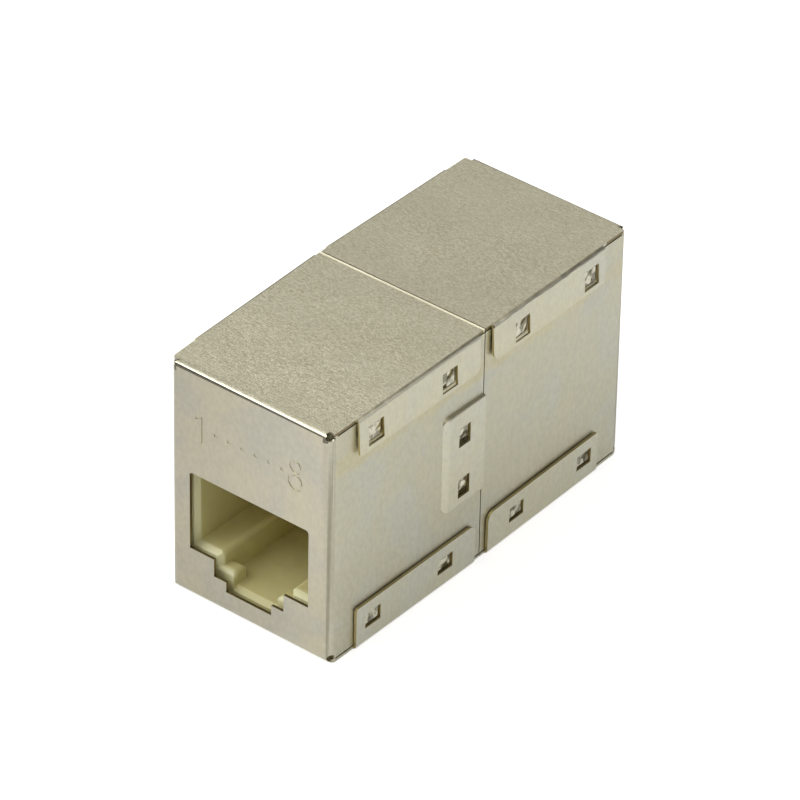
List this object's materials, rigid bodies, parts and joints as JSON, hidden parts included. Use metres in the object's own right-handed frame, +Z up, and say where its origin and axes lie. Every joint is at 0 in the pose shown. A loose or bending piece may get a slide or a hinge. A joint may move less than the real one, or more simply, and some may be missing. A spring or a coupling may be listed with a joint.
{
  "type": "rj45 inline coupler",
  "caption": "Shielded inline coupler that joins two patch cords: two folded steel half shells round back-to-back modular jacks on a shared board.",
  "frame": {"origin": "middle of the underside, on the seam between the two half shells", "axes": "+Z up out of the top panel, -Y out of the front port, +Y out of the rear port, +X to the right seen from the front port"},
  "size_m": [0.0174, 0.0376, 0.0223],
  "materials": {
    "plated_steel": "satin tin plate with a fine brushed grain on top",
    "ivory_plastic": "satin moulded ivory",
    "carrier_plastic": "satin moulded ivory",
    "board_laminate": "green solder mask on glass laminate",
    "gold_wire": "gold flash over spring wire"
  },
  "bodies": {
    "root": {"front_shield": "plated_steel", "rear_shield": "plated_steel", "front_jack_housing": "ivory_plastic", "rear_jack_housing": "ivory_plastic", "front_contact_carrier": "carrier_plastic", "rear_contact_carrier": "carrier_plastic", "circuit_board": "board_laminate", "front_contact_1": "gold_wire", "front_contact_2": "gold_wire", "front_contact_3": "gold_wire", "front_contact_4": "gold_wire", "front_contact_5": "gold_wire", "front_contact_6": "gold_wire", "front_contact_7": "gold_wire", "front_contact_8": "gold_wire", "rear_contact_1": "gold_wire", "rear_contact_2": "gold_wire", "rear_contact_3": "gold_wire", "rear_contact_4": "gold_wire", "rear_contact_5": "gold_wire", "rear_contact_6": "gold_wire", "rear_contact_7": "gold_wire", "rear_contact_8": "gold_wire"}
  },
  "joints": []
}
